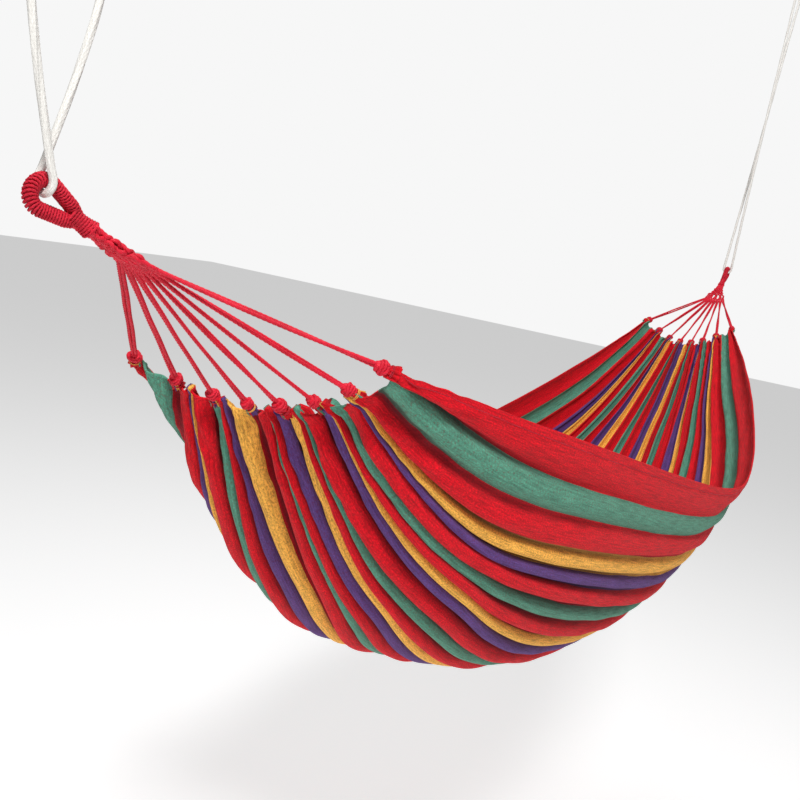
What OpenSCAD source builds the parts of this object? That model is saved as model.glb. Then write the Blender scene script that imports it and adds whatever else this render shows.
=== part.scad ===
// Rope hammock: a striped woven bed gathered at both ends, with corded ends and tree ropes.
// Frame: X runs from the near end to the far end, +Y is the side of the deeper rim, +Z is up.
// The origin is the middle of the near rope's knot, on the support that holds the hammock up.

/* [Hanging] */
// Level distance between the two eyes, from bearing point to bearing point
eye_span = 2380; // [2280:5:2480]
// Height of the far eye above the near eye
far_rise = 130; // [60:5:160]

/* [Tree rope] */
// Thickness of the white tree rope
rope_d = 7; // [6:0.5:8]
// Length of the knot on the support
rope_knot_l = 36; // [30:1:38]
// Thickness of the knot on the support
rope_knot_d = 24; // [20:1:28]

/* [Eye] */
// Thickness of the served band of the eye
band_d = 14; // [12:0.5:14.5]
// Thickness of the cord bundle inside the serving
core_d = 8.6; // [7:0.1:9]
// Radius of the round end of the eye, to the middle of the band
eye_r = 12.5; // [12:0.1:14]
// Angle between each leg of the eye and the eye's long axis
leg_angle = 13; // [11:0.5:15]
// Distance from the middle of the round end to the end of the serving
serving_end = 36; // [32:1:38]
// Distance from the middle of the round end to the end of the core
core_end = 50; // [46:1:52]
// Distance from the middle of the round end to the end of the whipping
neck_end = 54; // [53:1:60]
// Thickness of the whipping on the neck
neck_d = 21; // [20:0.5:24]

/* [Clew] */
// Length of the plaited fan beyond the neck
clew_l = 62; // [50:1:80]
// Width of the plaited fan where it meets the neck
clew_root_w = 19; // [16:1:22]
// Width of the plaited fan where the cords leave it
clew_w = 60; // [50:1:70]
// Thickness of the plaited fan where the cords leave it
clew_t = 12; // [9:0.5:14]

/* [Cords] */
// Number of doubled cords at each end
cords = 8; // [8:1:8]
// Thickness of one suspension cord
cord_d = 4.5; // [3.5:0.1:4.6]
// Distance from an eye to the point that its cords spread from
fan_from = 86; // [80:1:92]
// Reach from that point to the gather knots
cord_reach = 290; // [280:5:310]
// Half angle of the near cord fan
near_fan = 43; // [38:1:45]
// Half angle of the far cord fan
far_fan = 26; // [23:1:32]
// Droop of the near eye and neck
near_droop = 25; // [20:1:32]
// Droop of the far eye and neck
far_droop = 50; // [40:1:52]
// Droop of the outermost cords
side_droop = 24; // [18:1:28]
// Extra droop of the middle cords
middle_droop = 12; // [8:1:14]
// Height lost across the near row of gathers, from the -Y rim to the +Y rim
near_tilt = 66; // [0:2:70]
// Height lost across the far row of gathers, from the -Y rim to the +Y rim
far_tilt = 20; // [0:2:30]

/* [Gather knots] */
// Diameter of a gather knot
knot_d = 24; // [20:1:26]
// Diameter of the cloth bunch behind a knot
bunch_d = 18; // [14:1:20]
// Length of the cloth bunch behind a knot
bunch_l = 16; // [12:1:24]

/* [Fabric bed] */
// Thickness of the cloth, with its hems and puckers
cloth_t = 3; // [2:0.5:4]
// How far the -Y rim stands out from a straight line, half way along
bulge_a = 141; // [120:1:200]
// How far the +Y rim stands out from a straight line, half way along
bulge_b = 320; // [260:5:380]
// How far the -Y rim sags below a straight line, half way along
sag_a = 205; // [160:5:260]
// How far the +Y rim sags below a straight line, half way along
sag_b = 345; // [280:5:400]
// How far the belly hangs below the rims
belly = 300; // [240:5:360]
// Where along the bed the belly is deepest, as a share of its length from the near hem
belly_place = 0.36; // [0.3:0.01:0.5]
// How far the whole bed lies to the -Y side, which balances it under the eyes
sway = 90; // [60:1:120]
// Roundness of the bend in the -Y rim half way along
rim_round_a = 0.2; // [0.1:0.01:0.6]
// Roundness of the bend in the +Y rim half way along
rim_round_b = 0.4; // [0.1:0.01:0.6]

/* [Hidden] */
$fn = 48;

// Routes of the two tree ropes from one face of the knot, round the eye and back to the other
// face, measured from the eye that each one carries
near_route = [
    [-21, 0, 210], [-33, -2, 202], [-38, -4, 182], [-36, -6, 150], [-28, -8, 105],
    [-16, -10, 55], [-5, -11, 15], [0, -11, 0], [0, -8, -8], [0, 0, -11.4],
    [0, 8, -8], [0, 11, 0], [5, 11, 15], [16, 10, 55], [28, 8, 105],
    [36, 6, 150], [38, 4, 182], [33, 2, 202], [21, 0, 210]
];
far_route = [
    [49, 0, 880], [30, -2, 870], [21, -4, 840], [16, -6, 700], [8, -7, 500],
    [2, -8, 300], [-3, -10, 120], [-3, -11, 30], [0, -11, 0], [0, -8, -8], [0, 0, -11.4],
    [0, 8, -8], [0, 11, 0], [5, 11, 30], [18, 10, 120], [45, 8, 300],
    [75, 7, 500], [104, 6, 700], [119, 4, 840], [110, 2, 870], [91, 0, 880]
];
near_eye = -(near_route[0] + near_route[len(near_route) - 1]) / 2;
far_eye = near_eye + [eye_span, 0, far_rise];
near_support = [0, 0, 0];
far_support = far_eye + (far_route[0] + far_route[len(far_route) - 1]) / 2;

// Clearances between pieces that lie against each other
gap = 0.2;
cloth_gap = 1.5;
cord_gap = 3;

// Powers that set how suddenly the belly drops behind the gathers and below each rim
belly_power = 3;
wall_power_a = 3;
wall_power_b = 10;
// Numbers of steps along and across the cloth
long_steps = 40;
cross_steps = 28;
// Sides of a tree rope's tube
rope_sides = 8;

red = [0.85, 0.03, 0.12];
white = [0.9, 0.88, 0.84];

function unit(v) = v / norm(v);
// Length of each leg of an eye, from the round end to the end of the core
leg_l = (core_end - eye_r * sin(leg_angle)) / cos(leg_angle);

// Points of one end, in its own frame: X towards the bed, from the eye's bearing point
function droop(far) = far ? far_droop : near_droop;
function eye_axis(far) = [cos(droop(far)), 0, -sin(droop(far))];
function eye_middle() = [0, 0, -eye_r];
function cord_start(far, t) =
    eye_middle() + (neck_end + clew_l) * eye_axis(far) + [0, t * (clew_w / 2 - cord_d), 0];
function gather(far, t) =
    let (
        turn = t * (far ? far_fan : near_fan),
        fall = side_droop + middle_droop * (1 - t * t),
        tilt = t * (far ? far_tilt : near_tilt) / 2
    )
    fan_from * eye_axis(far)
        + cord_reach * [cos(fall) * cos(turn), cos(fall) * sin(turn), -sin(fall)]
        - [0, 0, tilt];
function cord_dir(far, t) = unit(gather(far, t) - cord_start(far, t));
function hem(far, t) = gather(far, t) + (knot_d / 2 + bunch_l + cloth_gap) * cord_dir(far, t);

// The same points in the part's frame
function placed(far, p) =
    (far ? far_eye : near_eye) + [far ? -p[0] : p[0], p[1], p[2]];
// Place of cord number i across its row: -1 at the -Y rim, 1 at the +Y rim
function across(i) = 1 - 2 * (i - 1) / (cords - 1);

// The bed: s runs from 0 at the near hem to 1 at the far hem, t from -1 to 1 across
function rim_rise(s, round) =
    (sqrt(1 + round * round) - sqrt(pow(2 * s - 1, 2) + round * round))
        / (sqrt(1 + round * round) - round);
function from_deepest(s) =
    s < belly_place ? (belly_place - s) / belly_place : (s - belly_place) / (1 - belly_place);
function belly_rise(s) = 1 - pow(from_deepest(s), belly_power);
function wall_rise(t) = 1 - pow(abs(t), t < 0 ? wall_power_a : wall_power_b);
function bed_point(s, t) =
    let (
        line = (1 - s) * placed(false, hem(false, t)) + s * placed(true, hem(true, t)),
        a_share = (1 - t) / 2 * rim_rise(s, rim_round_a),
        b_share = (1 + t) / 2 * rim_rise(s, rim_round_b),
        out = b_share * bulge_b - a_share * bulge_a,
        rim_sag = b_share * sag_b + a_share * sag_a,
        depth = belly * belly_rise(s) * wall_rise(t)
    )
    line + [0, out - sway * belly_rise(s), -rim_sag - depth];
function bed_normal(s, t) =
    let (e = 0.002)
    unit(cross(bed_point(s + e, t) - bed_point(s - e, t),
               bed_point(s, t + e) - bed_point(s, t - e)));
function bed_skin(side) = [
    for (i = [0 : long_steps], j = [0 : cross_steps])
    let (s = i / long_steps, t = 2 * j / cross_steps - 1)
    bed_point(s, t) + side * cloth_t / 2 * bed_normal(s, t)
];

module fabric_bed() {
    row = cross_steps + 1;
    n = (long_steps + 1) * row;
    top = [for (i = [0 : long_steps - 1], j = [0 : cross_steps - 1])
        let (a = i * row + j) [a, a + 1, a + row + 1, a + row]];
    under = [for (f = top) [n + f[3], n + f[2], n + f[1], n + f[0]]];
    ends = [for (j = [0 : cross_steps - 1], i = [0, long_steps])
        let (a = i * row + j)
        i == 0 ? [a + 1, a, n + a, n + a + 1] : [a, a + 1, n + a + 1, n + a]];
    rims = [for (i = [0 : long_steps - 1], j = [0, cross_steps])
        let (a = i * row + j)
        j == 0 ? [a, a + row, n + a + row, n + a] : [a + row, a, n + a, n + a + row]];
    color(red) polyhedron(
        points = concat(bed_skin(1), bed_skin(-1)),
        faces = concat(top, under, ends, rims));
}

// Puts a child that points along +Z at a place, pointing along a direction
module aimed(at, dir) {
    translate(at)
        rotate([0, acos(dir[2] / norm(dir)), atan2(dir[1], dir[0])])
            children();
}

// Puts a child drawn in an end's own frame at that end
module at_end(far) {
    if (far) translate(far_eye) mirror([1, 0, 0]) children();
    else translate(near_eye) children();
}

// Puts a child drawn along the eye's long axis, from the middle of its round end
module along_eye(far) {
    at_end(far) translate(eye_middle()) rotate([0, droop(far), 0]) children();
}

module gather_knot(far, i) {
    t = across(i);
    color(red) at_end(far) aimed(gather(far, t), cord_dir(far, t)) {
        sphere(d = knot_d);
        cylinder(d = bunch_d, h = knot_d / 2 + bunch_l);
    }
}

module cord_pair(far, i) {
    t = across(i);
    start = cord_start(far, t);
    dir = cord_dir(far, t);
    length = norm(gather(far, t) - start) - knot_d / 2 - cord_gap;
    color(red) at_end(far) aimed(start + cord_gap * dir, dir)
        for (side = [-1, 1])
            translate([side * (cord_d + gap) / 2, 0, 0]) cylinder(d = cord_d, h = length);
}

module clew_braid(far) {
    root_t = neck_d * 0.8;
    color(red) along_eye(far) translate([neck_end, 0, 0]) hull() {
        rotate([0, 90, 0]) scale([root_t / clew_root_w, 1, 1])
            cylinder(d = clew_root_w, h = 1, $fn = 32);
        for (side = [-1, 1])
            translate([clew_l - 1, side * (clew_w - clew_t) / 2, 0])
                rotate([0, 90, 0]) cylinder(d = clew_t, h = 1, $fn = 32);
    }
}

// Round end and two legs of an eye, as a bar of diameter d cut off square at the given end
module eye_bar(d, end) {
    rotate([90, 0, 0]) rotate([0, 0, 90 - leg_angle])
        rotate_extrude(angle = 180 + 2 * leg_angle) translate([eye_r, 0]) circle(d = d);
    intersection() {
        for (side = [-1, 1])
            translate([eye_r * sin(leg_angle), 0, side * eye_r * cos(leg_angle)])
                rotate([0, 90 + side * leg_angle, 0]) cylinder(d = d, h = 2 * leg_l);
        translate([-eye_r, -2 * eye_r, -2 * eye_r])
            cube([eye_r + end, 4 * eye_r, 4 * eye_r]);
    }
}

module eye_core(far) {
    color(red) along_eye(far) eye_bar(core_d, core_end);
}

module eye_serving(far) {
    color(red) along_eye(far) difference() {
        eye_bar(band_d, serving_end);
        eye_bar(core_d + 2 * gap, core_end);
    }
}

module neck_whipping(far) {
    color(red) along_eye(far) difference() {
        translate([serving_end + gap, 0, 0]) rotate([0, 90, 0])
            cylinder(d = neck_d, h = neck_end - serving_end - gap);
        eye_bar(core_d + 2 * gap, core_end + gap);
    }
}

// A smooth line through the route's points, with one more point in the middle of each step
function step_middle(a, b, c, d) = (9 * (b + c) - a - d) / 16;
function smooth_line(p) = [
    for (i = [0 : len(p) - 2])
        each [p[i], step_middle(p[max(i - 1, 0)], p[i], p[i + 1], p[min(i + 2, len(p) - 1)])],
    p[len(p) - 1]
];
function tangents(p) = [for (i = [0 : len(p) - 1])
    unit(p[min(i + 1, len(p) - 1)] - p[max(i - 1, 0)])];
// Directions square to the line that turn as little as they can from ring to ring
function square_to(t, i = 0, n = [0, 1, 0]) =
    i == len(t) ? [] : let (m = unit(n - (n * t[i]) * t[i])) concat([m], square_to(t, i + 1, m));

module rope_tube(route) {
    line = smooth_line(route);
    dirs = tangents(line);
    sides = square_to(dirs);
    n = len(line);
    points = [for (i = [0 : n - 1], k = [0 : rope_sides - 1])
        let (a = 360 * k / rope_sides)
        line[i] + rope_d / 2 * (cos(a) * sides[i] + sin(a) * cross(dirs[i], sides[i]))];
    skin = [for (i = [0 : n - 2], k = [0 : rope_sides - 1])
        let (a = i * rope_sides + k, b = i * rope_sides + (k + 1) % rope_sides)
        [a, a + rope_sides, b + rope_sides, b]];
    first = [for (k = [0 : rope_sides - 1]) k];
    last = [for (k = [rope_sides - 1 : -1 : 0]) (n - 1) * rope_sides + k];
    color(white) polyhedron(points = points, faces = concat(skin, [first], [last]));
}

module rope_knot(at) {
    color(white) translate(at) rotate([0, 90, 0]) {
        cylinder(d = rope_knot_d * 0.7, h = rope_knot_l, center = true);
        for (side = [-1, 1])
            translate([0, 0, side * rope_knot_l / 5]) sphere(d = rope_knot_d);
    }
}

fabric_bed();
for (i = [1 : cords]) {
    gather_knot(false, i);
    gather_knot(true, i);
    cord_pair(false, i);
    cord_pair(true, i);
}
clew_braid(false);  // near_clew_braid
clew_braid(true);  // far_clew_braid
neck_whipping(false);  // near_neck_whipping
neck_whipping(true);  // far_neck_whipping
eye_core(false);  // near_eye_core
eye_core(true);  // far_eye_core
eye_serving(false);  // near_eye_serving
eye_serving(true);  // far_eye_serving
translate(near_eye) rope_tube(near_route);  // near_tree_rope
translate(far_eye) rope_tube(far_route);  // far_tree_rope
rope_knot(near_support);  // near_rope_knot
rope_knot(far_support);  // far_rope_knot
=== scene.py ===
"""Looks of the rope hammock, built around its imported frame.

X runs from the near eye to the far eye, +Y is the side of the deeper rim and +Z is up. Metres.
"""
import math

import bpy
import numpy as np
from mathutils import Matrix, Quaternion, Vector


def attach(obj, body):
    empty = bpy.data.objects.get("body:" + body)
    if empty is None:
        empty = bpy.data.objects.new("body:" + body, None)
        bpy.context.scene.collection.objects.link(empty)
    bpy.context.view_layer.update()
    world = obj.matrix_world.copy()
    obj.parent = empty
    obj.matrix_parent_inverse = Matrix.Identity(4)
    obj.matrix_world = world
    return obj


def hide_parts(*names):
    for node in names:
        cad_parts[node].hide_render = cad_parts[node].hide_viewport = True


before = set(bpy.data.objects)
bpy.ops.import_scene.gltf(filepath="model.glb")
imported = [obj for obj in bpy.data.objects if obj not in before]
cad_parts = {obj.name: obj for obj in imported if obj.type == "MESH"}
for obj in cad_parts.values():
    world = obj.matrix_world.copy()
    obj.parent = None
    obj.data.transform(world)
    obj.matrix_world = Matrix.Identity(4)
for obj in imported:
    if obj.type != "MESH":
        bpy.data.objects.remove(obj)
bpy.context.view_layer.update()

TURN = 2 * math.pi
MM = 0.001

# ---------------------------------------------------------------- sizes, as the part has them
EYE = {"near": np.array([0.0, 0.0, -0.21]), "far": np.array([2.38, 0.0, -0.08])}
SUPPORT = {"near": np.array([0.0, 0.0, 0.0]), "far": np.array([2.45, 0.0, 0.8])}
INTO_BED = {"near": np.array([1.0, 1.0, 1.0]), "far": np.array([-1.0, 1.0, 1.0])}
ROPE_D = 7 * MM
ROPE_KNOT_L = 36 * MM
BAND_D = 14 * MM
EYE_R = 12.5 * MM
LEG_ANGLE = math.radians(13)
SERVING_END = 36 * MM
NECK_END = 54 * MM
NECK_D = 21 * MM
CLEW_L = 62 * MM
CLEW_ROOT_W = 19 * MM
CLEW_W = 60 * MM
CORDS = 8
CORD_D = 4.5 * MM
CORD_SIDE = 2.35 * MM
FAN_FROM = 0.086
CORD_REACH = 0.29
FAN = {"near": math.radians(43), "far": math.radians(26)}
DROOP = {"near": math.radians(25), "far": math.radians(50)}
SIDE_DROOP = math.radians(24)
MIDDLE_DROOP = math.radians(12)
TILT = {"near": 0.066, "far": 0.020}
KNOT_D = 24 * MM
BUNCH_L = 16 * MM
CLOTH_GAP = 1.5 * MM
BULGE_A = 0.141
BULGE_B = 0.320
SAG_A = 0.205
SAG_B = 0.345
BELLY = 0.300
BELLY_PLACE = 0.36
SWAY = 0.090
RIM_ROUND_A = 0.2
RIM_ROUND_B = 0.4
BELLY_POWER = 3
WALL_POWER_A = 3
WALL_POWER_B = 10

# Routes of the tree ropes, from one face of the knot, round the eye and back to the other face,
# measured from the eye that each one carries
NEAR_ROUTE = MM * np.array([
    [-21, 0, 210], [-33, -2, 202], [-38, -4, 182], [-36, -6, 150], [-28, -8, 105],
    [-16, -10, 55], [-5, -11, 15], [0, -11, 0], [0, -8, -8], [0, 0, -11.4],
    [0, 8, -8], [0, 11, 0], [5, 11, 15], [16, 10, 55], [28, 8, 105],
    [36, 6, 150], [38, 4, 182], [33, 2, 202], [21, 0, 210]])
FAR_ROUTE = MM * np.array([
    [49, 0, 880], [30, -2, 870], [21, -4, 840], [16, -6, 700], [8, -7, 500],
    [2, -8, 300], [-3, -10, 120], [-3, -11, 30], [0, -11, 0], [0, -8, -8], [0, 0, -11.4],
    [0, 8, -8], [0, 11, 0], [5, 11, 30], [18, 10, 120], [45, 8, 300],
    [75, 7, 500], [104, 6, 700], [119, 4, 840], [110, 2, 870], [91, 0, 880]])
ROUTE = {"near": NEAR_ROUTE, "far": FAR_ROUTE}

# The cloth as it was cut and woven: stripes from the -Y rim to the +Y rim
CLOTH_W = 1.4
CLOTH_L = 2.1
STRIPES = "RGRYP" * 5 + "RGR"
RED_SHARE = 1.25
CLOTH_T = 1.0 * MM
HEM_W = 13 * MM
HEM_T = 2.6 * MM


# ---------------------------------------------------------------- vectors and lines
def unit(v):
    return v / np.linalg.norm(v, axis=-1, keepdims=True)


def ease(x, low=0.0, high=1.0):
    """0 below low, 1 above high and smooth between them."""
    x = np.clip((x - low) / (high - low), 0, 1)
    return x * x * (3 - 2 * x)


def smooth_line(points, per):
    """A Catmull-Rom line through points, with per steps between each two."""
    p = np.vstack([points[:1], points, points[-1:]])
    u = np.arange(per)[:, None] / per
    runs = [
        0.5 * (2 * b + (c - a) * u + (2 * a - 5 * b + 4 * c - d) * u**2
               + (3 * b - a - 3 * c + d) * u**3)
        for a, b, c, d in zip(p, p[1:], p[2:], p[3:])]
    return np.vstack(runs + [points[-1:]])


def distances(path):
    """Length along a path up to each of its points."""
    return np.concatenate([[0.0], np.cumsum(np.linalg.norm(np.diff(path, axis=0), axis=1))])


def evenly(path, step):
    """The same path with points a step apart."""
    along = distances(path)
    wanted = np.linspace(0, along[-1], max(2, int(round(along[-1] / step)) + 1))
    return np.column_stack([np.interp(wanted, along, path[:, k]) for k in range(3)])


def directions(path):
    """Unit tangent, and two unit directions square to it that turn as little as they can."""
    tangent = unit(np.gradient(path, axis=0))
    side = np.cross(tangent[0], [0.3, 0.9, 0.2])
    normal = np.empty_like(tangent)
    for i, t in enumerate(tangent):
        side = side - (side @ t) * t
        side = side / np.linalg.norm(side)
        normal[i] = side
    return tangent, normal, np.cross(tangent, normal)


def ripple(x, y, waves_x, waves_y, count, seed):
    """A smooth seeded pattern of about unit height, with up to so many waves each way."""
    rng = np.random.default_rng(seed)
    total = np.zeros(np.broadcast(x, y).shape)
    for _ in range(count):
        fx, fy = rng.uniform(0.3, 1, 2) * (waves_x, waves_y)
        sign = rng.choice((-1, 1))
        total = total + np.sin(TURN * (fx * x + sign * fy * y + rng.uniform()))
    return total / math.sqrt(count)


# ---------------------------------------------------------------- the frame's own points
def eye_axis(end):
    return np.array([math.cos(DROOP[end]), 0, -math.sin(DROOP[end])])


def eye_up(end):
    return np.array([math.sin(DROOP[end]), 0, math.cos(DROOP[end])])


EYE_MIDDLE = np.array([0, 0, -EYE_R])
ASIDE = np.array([0.0, 1.0, 0.0])


def cord_start(end, t):
    base = EYE_MIDDLE + (NECK_END + CLEW_L) * eye_axis(end)
    return base + np.asarray(t)[..., None] * (CLEW_W / 2 - CORD_D) * ASIDE


def gather(end, t):
    t = np.asarray(t)
    turn = t * FAN[end]
    fall = SIDE_DROOP + MIDDLE_DROOP * (1 - t * t)
    reach = np.stack([np.cos(fall) * np.cos(turn), np.cos(fall) * np.sin(turn), -np.sin(fall)], -1)
    drop = t[..., None] * np.array([0, 0, TILT[end] / 2])
    return FAN_FROM * eye_axis(end) + CORD_REACH * reach - drop


def cord_direction(end, t):
    return unit(gather(end, t) - cord_start(end, t))


def hem_point(end, t):
    past = KNOT_D / 2 + BUNCH_L + CLOTH_GAP
    return placed(end, gather(end, t) + past * cord_direction(end, t))


def placed(end, p):
    """A point of an end's own frame in the part's frame."""
    return EYE[end] + p * INTO_BED[end]


def across(i):
    """Place of cord number i across its row: 1 at the +Y rim, -1 at the -Y rim."""
    return 1 - 2 * (i - 1) / (CORDS - 1)


def rim_rise(s, bend):
    full = math.hypot(1, bend)
    return (full - np.hypot(2 * s - 1, bend)) / (full - bend)


def bed_point(s, t):
    """The middle of the cloth, as the part has it, before its folds."""
    s3 = s[..., None]
    line = (1 - s3) * hem_point("near", t) + s3 * hem_point("far", t)
    a_share = (1 - t) / 2 * rim_rise(s, RIM_ROUND_A)
    b_share = (1 + t) / 2 * rim_rise(s, RIM_ROUND_B)
    from_deepest = np.where(
        s < BELLY_PLACE, (BELLY_PLACE - s) / BELLY_PLACE, (s - BELLY_PLACE) / (1 - BELLY_PLACE))
    belly = 1 - from_deepest**BELLY_POWER
    wall = 1 - np.abs(t) ** np.where(t < 0, WALL_POWER_A, WALL_POWER_B)
    out = b_share * BULGE_B - a_share * BULGE_A - SWAY * belly
    down = b_share * SAG_B + a_share * SAG_A + BELLY * belly * wall
    return line + np.stack([np.zeros_like(out), out, -down], -1)


# ---------------------------------------------------------------- mesh pieces
def sweep(path, radius, sides=12, lobes=0, depth=0.0, lay=1.0, turn=0.0):
    """A capped tube round a path. Its surface has lobes strands that turn once in each lay."""
    _, normal, other = directions(path)
    along = distances(path)
    angle = TURN * np.arange(sides) / sides
    strand = 1 - depth * (1 - np.abs(np.cos(lobes / 2 * angle)))
    a = angle + (TURN * along / lay + turn)[:, None]
    r = np.broadcast_to(radius, len(path))[:, None] * strand
    ring = np.cos(a)[..., None] * normal[:, None] + np.sin(a)[..., None] * other[:, None]
    points = (path[:, None] + r[..., None] * ring).reshape(-1, 3)
    i, k = np.meshgrid(np.arange(len(path) - 1), np.arange(sides), indexing="ij")
    here = (i * sides + k).ravel()
    beside = (i * sides + (k + 1) % sides).ravel()
    faces = np.column_stack([here, beside, beside + sides, here + sides]).tolist()
    faces.append(list(range(sides - 1, -1, -1)))
    faces.append(list(range(len(points) - sides, len(points))))
    around = np.tile(np.arange(sides) / sides, len(path))
    return {"points": points, "faces": faces, "along": np.repeat(along, sides), "around": around}


def piece(name, parts, materials, body, slot, *nodes):
    """One object made of parts, riding on a body and standing for CAD nodes."""
    points = np.vstack([p["points"] for p in parts])
    faces, face_material, start = [], [], 0
    for p in parts:
        faces += [[start + v for v in f] for f in p["faces"]]
        face_material += [p.get("material", 0)] * len(p["faces"])
        start += len(p["points"])
    mesh = bpy.data.meshes.new(name)
    mesh.from_pydata(points.tolist(), [], faces)
    mesh.polygons.foreach_set("material_index", face_material)
    mesh.polygons.foreach_set("use_smooth", [True] * len(faces))
    # The third attribute is the strength of the shade painted into the cloth's colour where its folds
    # are hollow; parts without it get none.
    for key in ("along", "around", "valley_shade"):
        layer = mesh.attributes.new(key, "FLOAT", "POINT")
        values = [p.get(key, np.zeros(len(p["points"]))) for p in parts]
        layer.data.foreach_set("value", np.concatenate(values).astype(np.float32))
    for material in materials:
        mesh.materials.append(material)
    obj = bpy.data.objects.new(name, mesh)
    bpy.context.scene.collection.objects.link(obj)
    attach(obj, body)
    if nodes:
        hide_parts(*nodes)
    return obj


def local_path(end, x, y, z):
    """Points given along the eye's axis, aside and up from the middle of the eye's round end."""
    x, y, z = (np.asarray(v)[..., None] for v in (x, y, z))
    return placed(end, EYE_MIDDLE + x * eye_axis(end) + y * ASIDE + z * eye_up(end))


# ---------------------------------------------------------------- camera
def make_camera():
    data = bpy.data.cameras.new("camera")
    data.lens = 38.9
    data.sensor_width = 36
    data.clip_end = 60
    camera = bpy.data.objects.new("camera", data)
    bpy.context.scene.collection.objects.link(camera)
    yaw, pitch, roll = (math.radians(a) for a in (31.66, -9.35, 10.3))
    look = Vector((
        math.cos(pitch) * math.cos(yaw), math.cos(pitch) * math.sin(yaw), math.sin(pitch)))
    camera.location = (-0.447, -0.651, -0.219)
    camera.rotation_mode = "QUATERNION"
    camera.rotation_quaternion = look.to_track_quat("-Z", "Y") @ Quaternion((0, 0, 1), roll)
    bpy.context.scene.camera = camera


# ---------------------------------------------------------------- materials
class Nodes:
    """Short calls for building a material's node tree."""

    def __init__(self, name, roughness, specular=0.3):
        self.material = bpy.data.materials.new(name)
        self.material.use_nodes = True
        self.tree = self.material.node_tree
        self.shader = self.tree.nodes["Principled BSDF"]
        self.shader.inputs["Roughness"].default_value = roughness
        self.shader.inputs["Specular IOR Level"].default_value = specular

    def add(self, kind, **inputs):
        node = self.tree.nodes.new("ShaderNode" + kind)
        for key, value in inputs.items():
            self.put(node, key, value)
        return node

    def put(self, node, key, value):
        socket = node.inputs[int(key[1:])] if key[0] == "_" else node.inputs[key.replace("_", " ")]
        if isinstance(value, bpy.types.NodeSocket):
            self.tree.links.new(value, socket)
        else:
            socket.default_value = value

    def attribute(self, name):
        node = self.tree.nodes.new("ShaderNodeAttribute")
        node.attribute_name = name
        return node.outputs["Fac"]

    def math(self, operation, a, b=0.0, c=0.0):
        node = self.add("Math", _0=a, _1=b, _2=c)
        node.operation = operation
        return node.outputs[0]

    def vector(self, x, y, z=0.0):
        return self.add("CombineXYZ", X=x, Y=y, Z=z).outputs[0]

    def noise(self, vector, scale, detail=2.0, rough=0.5):
        node = self.add("TexNoise", Vector=vector, Scale=scale, Detail=detail, Roughness=rough)
        return node.outputs["Fac"]

    def object_point(self):
        return self.tree.nodes.new("ShaderNodeTexCoord").outputs["Object"]

    def ramp(self, value, stops, constant=False):
        node = self.add("ValToRGB", Fac=value)
        ramp = node.color_ramp
        ramp.interpolation = "CONSTANT" if constant else "LINEAR"
        while len(ramp.elements) < len(stops):
            ramp.elements.new(1.0)
        for element, (position, color) in zip(ramp.elements, stops):
            element.position = position
            element.color = (*color, 1)
        return node.outputs["Color"]

    def mix(self, how, factor, a, b):
        node = self.tree.nodes.new("ShaderNodeMix")
        node.data_type = "RGBA"
        node.blend_type = how
        for socket, value in ((node.inputs[0], factor), (node.inputs[6], a), (node.inputs[7], b)):
            if isinstance(value, bpy.types.NodeSocket):
                self.tree.links.new(value, socket)
            else:
                socket.default_value = value if isinstance(value, float) else (*value, 1)
        return node.outputs[2]

    def finish(self, color, height, distance, strength=1.0):
        self.put(self.shader, "Base Color", color)
        bump = self.add("Bump", Height=height, Distance=distance, Strength=strength)
        self.put(self.shader, "Normal", bump.outputs[0])
        return self.material

    def sheen(self, weight, roughness, tint):
        self.shader.inputs["Sheen Weight"].default_value = weight
        self.shader.inputs["Sheen Roughness"].default_value = roughness
        self.shader.inputs["Sheen Tint"].default_value = (*tint, 1)


RED = (0.70, 0.002, 0.012)
TEAL = (0.095, 0.310, 0.215)
GOLD = (0.95, 0.480, 0.080)
PURPLE = (0.110, 0.050, 0.220)
STRIPE_COLOR = {"R": RED, "G": TEAL, "Y": GOLD, "P": PURPLE}


def stripe_edges():
    """Share of the cloth's width at which each stripe starts, and 1 at the end."""
    widths = [RED_SHARE if c == "R" else 1.0 for c in STRIPES]
    return np.concatenate([[0.0], np.cumsum(widths)]) / sum(widths)


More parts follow.
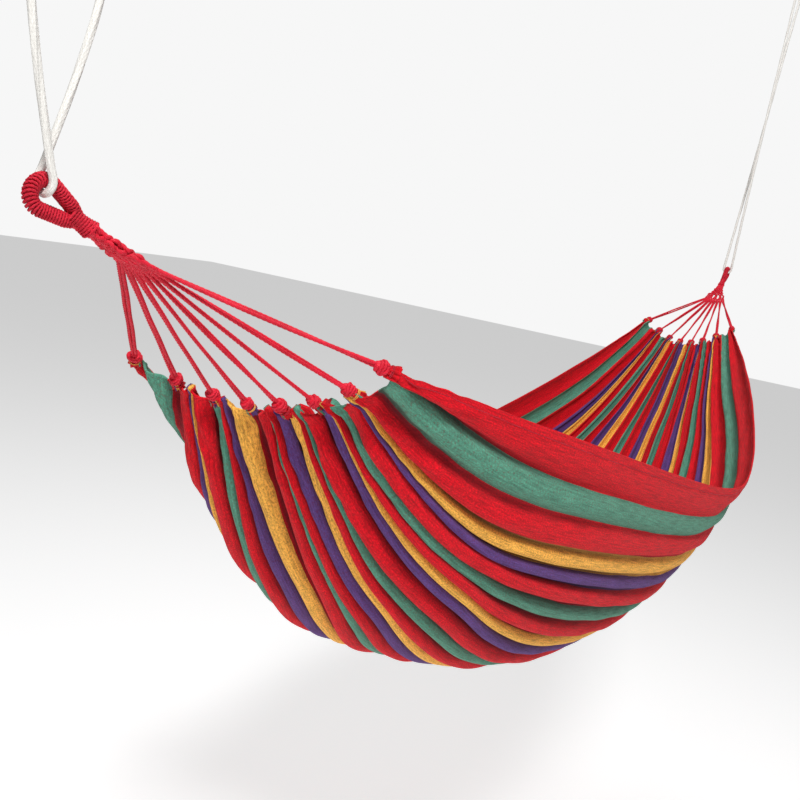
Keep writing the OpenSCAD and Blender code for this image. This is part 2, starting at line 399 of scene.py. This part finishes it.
def cloth_material():
    """Plain weave with coloured warp stripes, a red weft that shows as flecks, and slubs, with shade
    painted into the hollows of its folds.
    """
    n = Nodes("striped_cotton", 0.86, 0.22)
    wide, long = n.attribute("around"), n.attribute("along")
    warp_m = n.math("MULTIPLY", wide, CLOTH_W)
    wander = n.noise(n.vector(n.math("MULTIPLY", warp_m, 6.0), long), 9.0, 2.0)
    shift = n.math("MULTIPLY_ADD", wander, 0.0022, -0.0011)
    edges = stripe_edges()
    stops = [(edges[i], STRIPE_COLOR[c]) for i, c in enumerate(STRIPES)]
    stripes = n.ramp(n.math("ADD", wide, shift), stops, constant=True)
    fine = n.vector(n.math("MULTIPLY", warp_m, 520.0), n.math("MULTIPLY", long, 300.0))
    flecks = n.noise(fine, 1.0, 3.0, 0.75)
    weft = n.math("MULTIPLY", n.ramp(flecks, [(0.54, (0, 0, 0)), (0.66, (1, 1, 1))]), 0.42)
    color = n.mix("MIX", weft, stripes, (0.36, 0.012, 0.020))
    heather = n.ramp(
        flecks, [(0.32, (1.45, 1.45, 1.40)), (0.46, (1, 1, 1)), (0.62, (0.72, 0.72, 0.72))])
    color = n.mix("MULTIPLY", 0.9, color, heather)
    drawn = n.vector(n.math("MULTIPLY", warp_m, 420.0), n.math("MULTIPLY", long, 26.0))
    slubs = n.noise(drawn, 1.0, 3.0, 0.6)
    streaks = n.ramp(
        slubs, [(0.25, (0.50, 0.50, 0.50)), (0.52, (1, 1, 1)), (0.8, (1.35, 1.35, 1.35))])
    color = n.mix("MULTIPLY", 0.9, color, streaks)
    # Painted shade: where the folds are hollow the cloth's colour is mixed towards near black.
    shaded = n.math("MULTIPLY", n.attribute("valley_shade"), 0.85)
    color = n.mix("MIX", shaded, color, (0.030, 0.002, 0.006))
    threads = n.math("MULTIPLY", n.math("SINE", n.math("MULTIPLY", warp_m, TURN / 0.0016)),
                     n.math("SINE", n.math("MULTIPLY", long, TURN / 0.0019)))
    height = n.math("ADD", n.math("MULTIPLY_ADD", threads, 0.35, 0.35), flecks)
    n.sheen(0.06, 0.45, (1.0, 0.75, 0.70))
    return n.finish(color, height, 0.0007, 0.8)


def cord_material(name, color, dark, light):
    """Twisted yarn: fibres that run along the strands, in lighter and darker tones spread at random."""
    n = Nodes(name, 0.62, 0.35)
    around, along = n.attribute("around"), n.attribute("along")
    drawn = n.vector(n.math("MULTIPLY", around, 26.0), n.math("MULTIPLY", along, 160.0))
    fibre = n.noise(drawn, 1.0, 3.0, 0.65)
    patch = n.noise(n.object_point(), 55.0, 3.0)
    tone = n.math("ADD", n.math("MULTIPLY", fibre, 0.62), n.math("MULTIPLY", patch, 0.42))
    shade = n.ramp(tone, [(0.30, dark), (0.50, color), (0.78, light)])
    n.sheen(0.05, 0.4, (1.0, 0.65, 0.68))
    return n.finish(shade, fibre, 0.0005, 0.9)


def white_rope_material():
    """Satin sheath of a braided rope, a little grey in places at random."""
    n = Nodes("white_satin_rope", 0.38, 0.5)
    around, along = n.attribute("around"), n.attribute("along")
    turns, lays = n.math("MULTIPLY", around, TURN * 8), n.math("MULTIPLY", along, TURN / 0.006)
    one = n.math("SINE", n.math("ADD", turns, lays))
    two = n.math("SINE", n.math("SUBTRACT", turns, lays))
    braid = n.math("MAXIMUM", one, two)
    drawn = n.vector(n.math("MULTIPLY", around, 30.0), n.math("MULTIPLY", along, 90.0))
    fibre = n.noise(drawn, 1.0, 3.0, 0.6)
    shade = n.ramp(
        fibre, [(0.25, (0.60, 0.58, 0.54)), (0.55, (0.82, 0.80, 0.76)), (0.8, (0.92, 0.91, 0.88))])
    n.sheen(0.25, 0.3, (1.0, 1.0, 1.0))
    height = n.math("MULTIPLY_ADD", braid, 0.45, fibre)
    return n.finish(shade, height, 0.0004, 0.6)


CLOTH = cloth_material()
CORD = cord_material("red_cord", (0.66, 0.004, 0.026), (0.28, 0.001, 0.008), (0.80, 0.014, 0.044))
SERVING = cord_material("red_serving", (0.62, 0.004, 0.026), (0.22, 0.001, 0.006), (0.80, 0.022, 0.056))
THREAD = cord_material("gold_thread", (0.75, 0.34, 0.06), (0.4, 0.16, 0.02), (0.9, 0.55, 0.18))
STITCH = cord_material("red_thread", (0.45, 0.004, 0.02), (0.22, 0.001, 0.006), (0.75, 0.06, 0.10))
WHITE = white_rope_material()


# ---------------------------------------------------------------- tree ropes and their knots
def rope_knot(end):
    """A barrel knot: the rope turns about itself four times between the two faces of the knot."""
    half, turns, wind = ROPE_KNOT_L / 2, 4, ROPE_D * 1.02
    angle = np.linspace(0, TURN * turns, 40 * turns)
    share = angle / angle[-1]
    x = (share - 0.5) * turns * wind
    swell = 8.3 * MM * ease(np.minimum(share, 1 - share), 0, 0.12)
    winding = np.column_stack([x, swell * np.cos(angle), swell * np.sin(angle)])
    path = np.vstack([[[-half, 0, 0]], winding, [[half, 0, 0]]]) + SUPPORT[end]
    heart = SUPPORT[end] + np.linspace(-half, half, 12)[:, None] * [1.0, 0.0, 0.0]
    path = evenly(path, 1.2 * MM)
    parts = [sweep(path, ROPE_D / 2, 14, 5, 0.10, 0.05), sweep(heart, ROPE_D * 0.6, 14)]
    return piece(
        f"{end}_rope_knot_turns", parts, [WHITE], "supports", "white_rope", f"{end}_rope_knot")


def tree_rope(end, knot):
    path = evenly(smooth_line(ROUTE[end] + EYE[end], 12), 2 * MM)
    parts = [sweep(path, ROPE_D / 2 * 1.04, 20, 5, 0.16, 0.35)]
    rope = piece(f"{end}_white_rope", parts, [WHITE], "slings", "white_rope", f"{end}_tree_rope")


make_camera()
bpy.context.scene.view_settings.view_transform = "Standard"
for end in ("near", "far"):
    tree_rope(end, rope_knot(end))


# ---------------------------------------------------------------- the striped bed
COLUMNS = 18 * len(STRIPES)
ROWS = 240
T_STEPS = 161
WINDOW = COLUMNS // 14
# Distances over which the gathers, the hem's scallops and the slack between knots die out
FOLD_REACH = 0.11
HEM_REACH = 0.06
SLACK_REACH = 0.22
SLACK_DROP = 7 * MM
# Smallest share of its width that folded cloth keeps, lean added to every fold, and steepest lean
LEAST_KEPT = 0.24
EXTRA_LEAN = 0.22
STEEPEST_LEAN = 2.1
# Place across the cloth, spread and reach of the deeper folds below the middle knots
CREASE_AT = 0.30
CREASE_SPREAD = 0.17
CREASE_REACH = 0.45
# How far the cloth reaches past its hem line into a knot, and how far it hangs back between two
REACH_IN = 26 * MM
SCALLOP = {"near": 19 * MM, "far": 15 * MM}


def fold_slope(place):
    """Slope of the folds: a round ridge on each stripe and a sharp crease at its edges."""
    w = np.mod(place, 1)
    return np.cos(math.pi * w) * ease(np.minimum(w, 1 - w), 0, 0.10)


def fold_angles():
    """Table of how far a fold's sides lean against the share of width that the cloth keeps."""
    lean = np.linspace(0, 2.0, 200)
    kept = np.mean(np.cos(lean[:, None] * fold_slope(np.arange(64) / 64)), axis=1)
    return kept[::-1], lean[::-1]


def stripe_place(q):
    """Number of the stripe at q, with the share of the way across it."""
    return np.interp(q, stripe_edges(), np.arange(len(STRIPES) + 1))


def gathered(q):
    """Where the hem puts the cloth at q across the row: bunched at each of the knots."""
    place = q * (CORDS - 1)
    knot = np.round(place)
    v = place - knot
    bunched = 0.18 * v + 0.41 * np.sign(v) * np.abs(2 * v) ** 4
    return (knot + bunched) / (CORDS - 1)


def moving_mean(values, window):
    """Mean of each row's neighbours along it, with the ends carried on."""
    padded = np.pad(values, ((0, 0), (window // 2, window // 2)), "edge")
    total = np.cumsum(np.pad(padded, ((0, 0), (1, 0))), axis=1)
    return (total[:, window:] - total[:, :-window])[:, :values.shape[1]] / window


def running_sum(values):
    """Sum of each row from its start, halfway between neighbours."""
    middles = 0.5 * (values[:, 1:] + values[:, :-1])
    return np.concatenate([np.zeros((len(values), 1)), np.cumsum(middles, axis=1)], axis=1)


def bed_grid():
    """Points on the middle of the folded cloth, by row along it and column across it.

    Also the share of the length and of the width at each, and how deep in the hollow of a fold each
    lies, which sets the shade painted into the cloth's colour there.
    """
    u = np.linspace(0, 1, ROWS + 1)
    s = (u - 0.62 * np.sin(TURN * u) / TURN)[:, None]
    q = np.linspace(0, 1, COLUMNS + 1)[None, :]
    from_near, from_far = s * CLOTH_L, (1 - s) * CLOTH_L
    hold = np.exp(-from_near / FOLD_REACH) + np.exp(-from_far / FOLD_REACH)
    target = hold * gathered(q) + (1 - hold) * q

    t_line = np.linspace(-1, 1, T_STEPS)
    base = bed_point(np.repeat(s, T_STEPS, 1), np.repeat(t_line[None], ROWS + 1, 0))
    steps = np.linalg.norm(np.diff(base, axis=1), axis=2)
    arc = np.concatenate([np.zeros((ROWS + 1, 1)), np.cumsum(steps, axis=1)], axis=1)

    kept = np.gradient(target, q[0], axis=1) * arc[:, -1:] / CLOTH_W
    kept = 0.35 * kept + 0.65 * moving_mean(kept, WINDOW)
    share, lean = fold_angles()
    depth = EXTRA_LEAN + np.interp(np.clip(kept, LEAST_KEPT, 1), share, lean)
    stripes_in = np.minimum(q, 1 - q) * len(STRIPES)
    flat_rim = 0.5 * (1 - ease(stripes_in, 1.0, 5.0)) * (1 - 0.7 * np.minimum(hold, 1))
    edge = (0.35 + 0.65 * ease(stripes_in, 0.2, 1.4)) * (1 - flat_rim)
    creased = np.exp(-((q - CREASE_AT) / CREASE_SPREAD) ** 2 - from_near / CREASE_REACH)
    depth = depth * edge * (1 + 0.14 * ripple(q, s, 9, 2.2, 6, 3) + 0.42 * creased)
    place = stripe_place(q) + 0.07 * ripple(q, s, 8, 2.5, 6, 5)
    slope = np.minimum(depth, STEEPEST_LEAN) * fold_slope(place)
    step = CLOTH_W / COLUMNS
    ahead = np.gradient(target, q[0], axis=1) * np.cos(slope)
    x = running_sum(ahead)
    x = x / x[:, -1:]
    y = running_sum(np.sin(slope) * step)
    y = y - moving_mean(y, WINDOW)

    t = np.empty_like(x)
    for i in range(ROWS + 1):
        t[i] = np.interp(x[i], arc[i] / arc[i, -1], t_line)
    beside = (1 + t) / 2 * (CORDS - 1)
    between = np.abs(beside - np.round(beside)) * 2
    cloth_place = q * (CORDS - 1)
    free = ease(np.abs(cloth_place - np.round(cloth_place)) * 2, 0.35, 1.0)
    near_off = (free * SCALLOP["near"] - REACH_IN) * np.exp(-from_near / HEM_REACH)
    far_off = (free * SCALLOP["far"] - REACH_IN) * np.exp(-from_far / HEM_REACH)
    pulled = s + (near_off - far_off) / CLOTH_L
    inside = np.clip(pulled, 0, 1)
    points = bed_point(inside, t)
    for end, past in (("near", -np.minimum(pulled, 0)), ("far", np.maximum(pulled - 1, 0))):
        back = -cord_direction(end, t) * INTO_BED[end]
        points = points + CLOTH_L * past[..., None] * back

    tiny = 0.002
    low_s, high_s = np.clip(inside - tiny, 0, 1), np.clip(inside + tiny, 0, 1)
    up = unit(np.cross(bed_point(high_s, t) - bed_point(low_s, t),
                       bed_point(inside, t + tiny) - bed_point(inside, t - tiny)))
    bunch = 1 - 0.45 * (np.exp(-from_near / 0.02) + np.exp(-from_far / 0.02))
    slack = ease(between, 0, 1) * sum(
        np.exp(-away / SLACK_REACH) * ease(away, 0, 0.05) for away in (from_near, from_far))
    crinkle = 0.6 * MM * ripple(q, s, 60, 16, 10, 11)
    crinkle = crinkle + 2.4 * MM * hold**1.5 * ripple(q, s, 75, 85, 12, 12)
    outward = y * bunch + SLACK_DROP * slack + crinkle
    # Painted shade: both sides of a stripe's edge count as the hollow of its fold and get shade painted
    # into the cloth's colour, more so where the fold is deep
    w = np.mod(place, 1)
    valley_shade = (1 - ease(np.minimum(w, 1 - w), 0.02, 0.25)) * ease(depth, 0.55, 1.4)
    return points - outward[..., None] * up, s, q, valley_shade


def grid_normals(points):
    return unit(np.cross(np.gradient(points, axis=0), np.gradient(points, axis=1)))


def striped_bed():
    points, s, q, valley_shade = bed_grid()
    up = grid_normals(points)
    from_edge = np.minimum(np.minimum(q, 1 - q) * CLOTH_W, np.minimum(s, 1 - s) * CLOTH_L)
    thick = CLOTH_T + (HEM_T - CLOTH_T) * (1 - ease(from_edge, HEM_W * 0.85, HEM_W))
    half = thick[..., None] / 2 * up
    rows, columns = points.shape[:2]
    count = rows * columns
    grid = np.arange(count).reshape(rows, columns)
    a, b, c, d = (g.ravel() for g in (grid[:-1, :-1], grid[1:, :-1], grid[1:, 1:], grid[:-1, 1:]))
    skins = [np.column_stack([a, b, c, d]), count + np.column_stack([d, c, b, a])]
    faces = np.vstack(skins).tolist()
    border = np.concatenate([grid[0, :-1], grid[:-1, -1], grid[-1, :0:-1], grid[:0:-1, 0]])
    after = np.roll(border, -1)
    faces += np.column_stack([border, after, after + count, border + count]).tolist()
    # Only the skin at points - half carries the painted shade of the fold hollows.
    bed = {"points": np.concatenate([points + half, points - half]).reshape(-1, 3), "faces": faces,
           "along": np.tile(np.broadcast_to(s * CLOTH_L, points.shape[:2]).ravel(), 2),
           "around": np.tile(np.broadcast_to(q, points.shape[:2]).ravel(), 2),
           "valley_shade": np.concatenate([np.zeros(count), valley_shade.ravel()])}
    cloth = piece("striped_bed_cloth", [bed], [CLOTH], "hammock", "striped_cloth", "fabric_bed")
    column = int(round(HEM_W * 0.9 / CLOTH_W * (columns - 1)))
    seams = []
    for j in (column, columns - 1 - column):
        for side in (1, -1):
            line = points[:, j] + side * thick[:, j, None] / 2 * up[:, j]
            line = evenly(smooth_line(line, 3), 0.9 * MM)
            bob = 0.35 * MM * np.sin(TURN * distances(line) / 0.0045)[:, None]
            _, normal, _ = directions(line)
            seams.append(sweep(line + bob * normal, 0.45 * MM, 5))
    seam = piece("rim_seams", seams, [STITCH], "hammock", "striped_cloth")


# ---------------------------------------------------------------- gather knots
def knot_frame(end, i):
    """Middle of a knot, and the directions along its cord, aside and up."""
    t = np.array(across(i))
    ahead = cord_direction(end, t) * INTO_BED[end]
    aside = unit(np.cross([0.0, 0.0, 1.0], ahead))
    return placed(end, gather(end, t)), ahead, aside, np.cross(ahead, aside)


def in_knot(knot, x, y, z):
    middle, ahead, aside, up = knot
    return middle + x[:, None] * ahead + y[:, None] * aside + z[:, None] * up


def wound_cord(knot, rng, size):
    """Cord wound round the bunch in barrel turns, with one turn that crosses over them."""
    turns = 3.6
    angle = np.linspace(0, TURN * turns, 130)
    share = angle / angle[-1]
    slant = rng.uniform(0.9, 2.2) * MM
    phase = rng.uniform(0, TURN)
    x = (share - 0.5) * 12.5 * MM + slant * np.sin(angle + phase)
    r = size * (4.2 + 2.2 * np.sin(math.pi * share) + 0.5 * np.sin(3 * angle + phase)) * MM
    barrel = in_knot(knot, x, r * np.cos(angle + phase), r * np.sin(angle + phase))
    angle = np.linspace(0, TURN * 0.93, 40) + phase
    x = 4.5 * MM * np.cos(angle - phase)
    r = size * (7.6 - 1.4 * np.abs(np.cos(angle - phase))) * MM
    cross = in_knot(knot, x, r * np.cos(angle), r * np.sin(angle))
    return [sweep(evenly(line, 0.9 * MM), CORD_D / 2 * thick, 12, 3, 0.20, 0.014)
            for line, thick in ((barrel, 0.95), (cross, 0.9))]


def lump(knot, q, rng, low, high, radii, pleats, depth, material):
    """A pleated closed bunch along the knot's axis, with its stripes in the cloth's own order."""
    sides, rings = 40, 18
    share = np.linspace(0, 1, rings)
    angle = TURN * np.arange(sides) / sides
    x = low + (high - low) * share
    radius = np.interp(share, np.linspace(0, 1, len(radii)), radii)
    radius[[0, -1]] = 0.4 * MM
    turn = rng.uniform(0, TURN)
    pleat = np.sin(pleats * angle + turn + 1.2 * np.sin(angle))[None]
    fold = 1 + depth * pleat + 0.10 * np.sin(2 * angle[None] + 5 * share[:, None] + turn)
    r = radius[:, None] * fold
    points = in_knot(
        knot, np.repeat(x, sides), (r * np.cos(angle)).ravel(), (r * np.sin(angle)).ravel())
    i, k = np.meshgrid(np.arange(rings - 1), np.arange(sides), indexing="ij")
    here, beside = (i * sides + k).ravel(), (i * sides + (k + 1) % sides).ravel()
    faces = np.column_stack([here, beside, beside + sides, here + sides]).tolist()
    faces.append(list(range(sides - 1, -1, -1)))
    faces.append(list(range(sides * (rings - 1), sides * rings)))
    stripe = np.clip(q + 0.07 * np.cos(angle), 0.002, 0.998)
    return {"points": points, "faces": faces, "along": np.repeat(x, sides),
            "around": np.tile(stripe, rings), "material": material}


def gather_knot(end, i):
    knot = knot_frame(end, i)
    rng = np.random.default_rng(100 * i + (end == "far"))
    q = (1 + across(i)) / 2
    size = rng.uniform(0.85, 1.15)
    parts = wound_cord(knot, rng, size)
    heart = size * MM * np.array([3.4, 5.2, 5.8, 5.4, 4.6])
    flare = size * MM * np.array([4.6, 5.8, 7.0, 7.4])
    parts.append(lump(knot, q, rng, -9.5 * MM, 9 * MM, heart, 7, 0.08, 0))
    parts.append(lump(knot, q, rng, 4 * MM, 20 * MM, flare, 9, 0.18, 1))
    angle = np.linspace(0, TURN * 1.9, 60)
    round_it = 6.6 * size * MM
    ring = in_knot(knot, 10 * MM + 0.9 * MM * np.sin(angle * 0.5),
                   round_it * np.cos(angle), round_it * np.sin(angle))
    parts.append({**sweep(evenly(ring, 0.8 * MM), 0.6 * MM, 7), "material": 2})
    materials = [CORD, CLOTH, THREAD if (i % 3) == 1 else STITCH]
    piece(f"{end}_knot_{i}", parts, materials, "hammock", "gathered_cloth", f"{end}_gather_knot_{i}")


# ---------------------------------------------------------------- plaited clews and their cords
BRAID_END = 40 * MM
LAYER_OUT = 2.3 * MM


def zigzag(p):
    """A triangle wave of unit height that repeats every 2."""
    return 2 * np.abs(np.mod(p, 2) - 1) - 1


def clew_width(x):
    spread = ease(x, 0, CLEW_L * 1.25) / ease(CLEW_L, 0, CLEW_L * 1.25)
    return CLEW_ROOT_W + (CLEW_W - CLEW_ROOT_W) * spread


def plaited_strands(end):
    """Paths of the 16 cords through the plait, listed by cord number and side."""
    x = np.arange(-8 * MM, CLEW_L + 0.5 * MM, 1 * MM)
    run = 44 * MM
    strands = {}
    for layer in (0, 1):
        drift = x / run + 0.07 * layer
        place = {j: zigzag(2 * j / CORDS + drift) for j in range(CORDS)}
        order = sorted(place, key=lambda j: -place[j][np.searchsorted(x, BRAID_END)])
        for i, j in enumerate(order, start=1):
            bob = np.cos(math.pi * x / (run / CORDS) + math.pi * j)
            out = (1 - 2 * layer) * (LAYER_OUT + 1.1 * MM * bob)
            width = clew_width(np.clip(x, 0, None)) / 2 - CORD_D / 2
            leaving = ease(x, BRAID_END * 0.8, CLEW_L)
            exit_y = across(i) * (CLEW_W / 2 - CORD_D) + (1 - 2 * layer) * CORD_SIDE
            y = (1 - leaving) * place[j] * width + leaving * exit_y
            strands[i, layer] = local_path(end, NECK_END + x, y, out * (1 - leaving))
    return strands


def clew_and_cords(end):
    strands = plaited_strands(end)
    parts = [sweep(evenly(p, 0.9 * MM), CORD_D / 2, 12, 3, 0.22, 0.016, 0.7 * i + layer)
             for (i, layer), p in strands.items()]
    piece(f"{end}_clew_plait", parts, [CORD], "hammock", "red_cord", f"{end}_clew_braid")
    for i in range(1, CORDS + 1):
        rng = np.random.default_rng(500 + 10 * i + (end == "far"))
        middle, ahead, aside, up = knot_frame(end, i)
        lean = rng.uniform(-1.1, 1.1)
        pair = []
        for layer in (0, 1):
            start = strands[i, layer][-1]
            side = 1 - 2 * layer
            apart = math.cos(lean) * aside + math.sin(lean) * up
            finish = middle - 5 * MM * ahead + side * 1.9 * MM * apart
            share = np.linspace(0, 1, 60)[:, None]
            line = start + share * (finish - start)
            hump = np.sin(math.pi * share)
            line = line + hump * side * (rng.uniform(0.8, 2.8) * up + 0.8 * aside) * MM
            weave = np.sin(TURN * 2.5 * share + rng.uniform(0, TURN))
            line = line + 0.35 * MM * hump * weave * aside
            turn = rng.uniform(0, TURN)
            pair.append(sweep(evenly(line, 1.0 * MM), CORD_D / 2, 12, 3, 0.22, 0.016, turn))
        piece(f"{end}_cord_pair_{i}", pair, [CORD], "hammock", "red_cord", f"{end}_cord_{i}")


# ---------------------------------------------------------------- served eyes and whipped necks
def eye_line():
    """Centreline of the eye's band, in the plane of its axis and up, as x and z."""
    lead = (SERVING_END - EYE_R * math.sin(LEG_ANGLE)) / math.cos(LEG_ANGLE)
    turn = np.linspace(math.pi / 2 - LEG_ANGLE, 1.5 * math.pi + LEG_ANGLE, 80)
    round_end = EYE_R * np.column_stack([np.cos(turn), np.sin(turn)])
    along = np.linspace(lead, 0, 30, endpoint=False)[:, None]
    top = round_end[0] + along * [math.cos(LEG_ANGLE), -math.sin(LEG_ANGLE)]
    low = round_end[-1] + along[::-1] * [math.cos(LEG_ANGLE), math.sin(LEG_ANGLE)]
    return np.vstack([top, round_end, low])


def served_eye(end):
    """Fine two-ply cord wound closely round the band, each turn slanting across it."""
    line = eye_line()
    flat = np.column_stack([line[:, 0], np.zeros(len(line)), line[:, 1]])
    flat = evenly(flat, 0.25 * MM)
    along = distances(flat)
    pitch, ply = 2.75 * MM, 1.45 * MM
    turns = along[-1] / pitch
    angle = np.arange(0, TURN * turns, TURN / 40)
    slant = 2.6 * MM
    place = np.clip(angle / TURN * pitch + slant * np.sin(angle), 0, along[-1])
    centre = np.column_stack([np.interp(place, along, flat[:, k]) for k in range(3)])
    tangent = unit(np.column_stack([
        np.interp(place, along, np.gradient(flat[:, k])) for k in range(3)]))
    outward = np.cross(tangent, ASIDE)
    room = np.where(centre[:, 0] > 0, np.abs(centre[:, 2]) + 0.6 * MM, BAND_D / 2)
    radius = np.minimum(BAND_D / 2, room) - ply
    ring = np.cos(angle)[:, None] * outward + np.sin(angle)[:, None] * ASIDE
    wound = centre + radius[:, None] * ring
    path = local_path(end, wound[:, 0], wound[:, 1], wound[:, 2])
    parts = [sweep(evenly(path, 0.7 * MM), ply, 10, 2, 0.30, 0.0065)]
    piece(f"{end}_eye_turns", parts, [SERVING], "hammock", "red_cord", f"{end}_eye_serving")


def whipped_neck(end):
    """Cord wound round the two legs below the eye, as slanting turns that narrow to the plait."""
    ply = 1.6 * MM
    first, last = SERVING_END - 8 * MM, NECK_END + 1 * MM
    pitch = 3.0 * MM
    turns = (last - first) / pitch
    angle = np.arange(0, TURN * turns, TURN / 48)
    share = angle / angle[-1]
    x = first + (last - first) * share + 3.0 * MM * np.sin(angle + 0.6)
    tall = (NECK_D / 2 - ply) * (1 - 0.18 * np.sin(math.pi * share)) - 0.6 * MM
    wide = tall * (0.86 + 0.10 * share)
    path = local_path(end, x, wide * np.sin(angle), tall * np.cos(angle))
    parts = [sweep(evenly(path, 0.7 * MM), ply, 10, 2, 0.28, 0.0075)]
    x = np.linspace(first + 2 * MM, last + 2 * MM, 14)
    heart = local_path(end, x, np.zeros(14), np.zeros(14))
    parts.append(sweep(heart, NECK_D / 2 - 2.2 * ply, 16))
    piece(f"{end}_neck_turns", parts, [SERVING], "hammock", "red_cord", f"{end}_neck_whipping")


for end in ("near", "far"):
    for i in range(1, CORDS + 1):
        gather_knot(end, i)
    clew_and_cords(end)
    served_eye(end)
    whipped_neck(end)
    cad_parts[f"{end}_eye_core"].data.materials.clear()
    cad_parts[f"{end}_eye_core"].data.materials.append(CORD)
striped_bed()


# ---------------------------------------------------------------- floor and light
def make_floor():
    size, height = 24.0, -1.75
    mesh = bpy.data.meshes.new("floor")
    corners = [(x * size, y * size, height) for x, y in ((-1, -1), (1, -1), (1, 1), (-1, 1))]
    mesh.from_pydata(corners, [], [(0, 1, 2, 3)])
    n = Nodes("pale_floor", 0.9, 0.1)
    n.put(n.shader, "Base Color", (0.9, 0.9, 0.9, 1))
    n.put(n.shader, "Emission Color", (1, 1, 1, 1))
    n.put(n.shader, "Emission Strength", 0.42)
    mesh.materials.append(n.material)
    floor = bpy.data.objects.new("floor", mesh)
    bpy.context.scene.collection.objects.link(floor)


def area_light(name, place, target, size, power):
    data = bpy.data.lights.new(name, "AREA")
    data.energy = power
    data.size = size
    light = bpy.data.objects.new(name, data)
    light.location = place
    light.rotation_euler = (Vector(target) - Vector(place)).to_track_quat("-Z", "Y").to_euler()
    bpy.context.scene.collection.objects.link(light)


def make_light():
    """A white studio that fills the shadows less than it shows behind the object."""
    world = bpy.data.worlds.new("studio")
    world.use_nodes = True
    tree = world.node_tree
    tree.nodes["Background"].inputs["Color"].default_value = (1, 1, 1, 1)
    seen = tree.nodes.new("ShaderNodeLightPath").outputs["Is Camera Ray"]
    strength = tree.nodes.new("ShaderNodeMapRange")
    strength.inputs["To Min"].default_value = 0.20
    strength.inputs["To Max"].default_value = 0.93
    tree.links.new(seen, strength.inputs["Value"])
    tree.links.new(strength.outputs[0], tree.nodes["Background"].inputs["Strength"])
    bpy.context.scene.world = world
    area_light("key", (-1.5, -1.7, 2.4), (0.8, 0, -0.6), 0.8, 140)
    area_light("top", (1.8, 0.6, 3.2), (1.4, 0, -0.6), 1.5, 60)


make_floor()
make_light()
